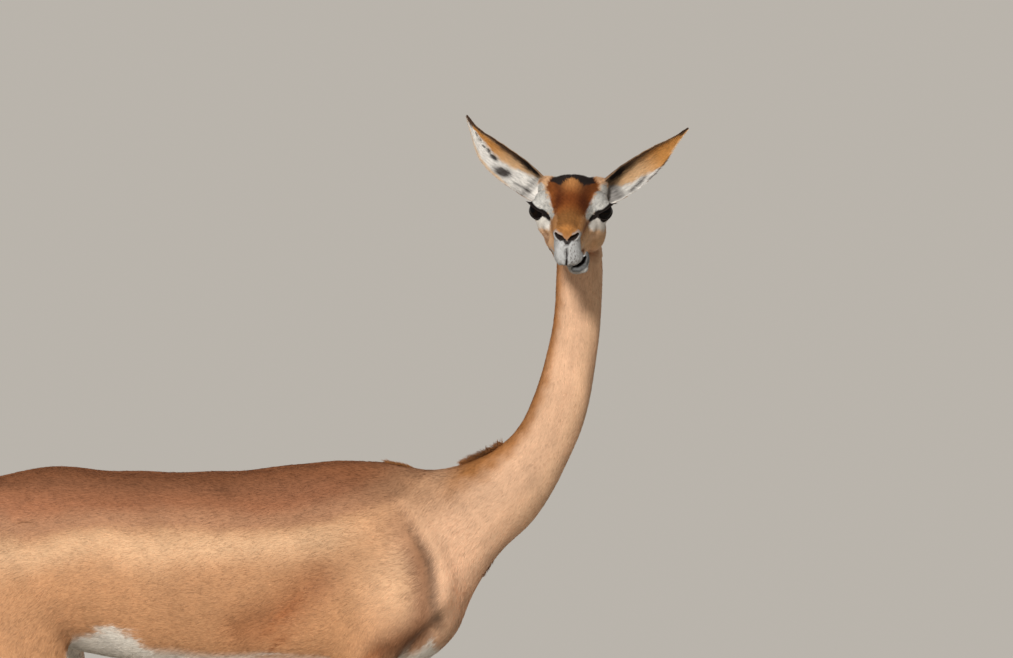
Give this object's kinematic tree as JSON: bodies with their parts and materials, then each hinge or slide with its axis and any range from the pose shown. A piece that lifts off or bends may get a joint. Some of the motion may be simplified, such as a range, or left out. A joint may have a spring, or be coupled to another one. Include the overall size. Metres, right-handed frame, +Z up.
{
  "type": "gerenuk",
  "caption": "Life-size standing gerenuk, a long-necked antelope without horns, its head turned to its right and its ears spread.",
  "frame": {"origin": "on the floor, under the middle of the whole animal's box", "axes": "+X forward along the body, +Y to the animal's left, +Z up"},
  "size_m": [1.0638, 0.3015, 1.3469],
  "materials": {
    "coat_head": "matte",
    "coat_neck": "matte",
    "coat_body": "matte",
    "coat_legs": "matte",
    "coat_ears": "matte",
    "coat_tail": "matte",
    "eyes": "wet and glossy",
    "hooves": "satin horn"
  },
  "bodies": {
    "root": {"torso": "coat_body", "neck": "coat_neck", "head": "coat_head", "ear_left": "coat_ears", "ear_right": "coat_ears", "eye_left": "eyes", "eye_right": "eyes", "tail": "coat_tail", "foreleg_left_upper": "coat_legs", "foreleg_left_lower": "coat_legs", "foreleg_left_hoof_inner": "hooves", "foreleg_left_hoof_outer": "hooves", "foreleg_right_upper": "coat_legs", "foreleg_right_lower": "coat_legs", "foreleg_right_hoof_inner": "hooves", "foreleg_right_hoof_outer": "hooves", "hindleg_left_upper": "coat_legs", "hindleg_left_lower": "coat_legs", "hindleg_left_hoof_inner": "hooves", "hindleg_left_hoof_outer": "hooves", "hindleg_right_upper": "coat_legs", "hindleg_right_lower": "coat_legs", "hindleg_right_hoof_inner": "hooves", "hindleg_right_hoof_outer": "hooves"}
  },
  "joints": []
}
